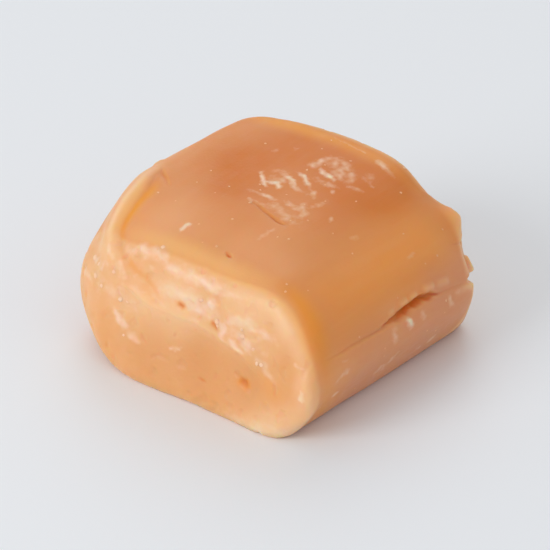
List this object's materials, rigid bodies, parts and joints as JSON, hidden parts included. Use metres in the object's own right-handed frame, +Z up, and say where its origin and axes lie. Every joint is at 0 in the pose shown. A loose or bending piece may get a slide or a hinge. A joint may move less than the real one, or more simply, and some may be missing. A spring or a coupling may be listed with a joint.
{
  "type": "piece of fudge",
  "caption": "Rounded block of soft caramel-coloured fudge with a cut end, an open side fold and a flat base to rest on.",
  "frame": {"origin": "middle of the piece's footprint box, on the plane it rests on", "axes": "+Z up, +X along the bar from the cut end to the far end, -Y out of the side with the open fold"},
  "size_m": [0.0324, 0.0332, 0.0167],
  "materials": {
    "fudge": "satin"
  },
  "bodies": {
    "root": {"fudge_piece": "fudge"}
  },
  "joints": []
}
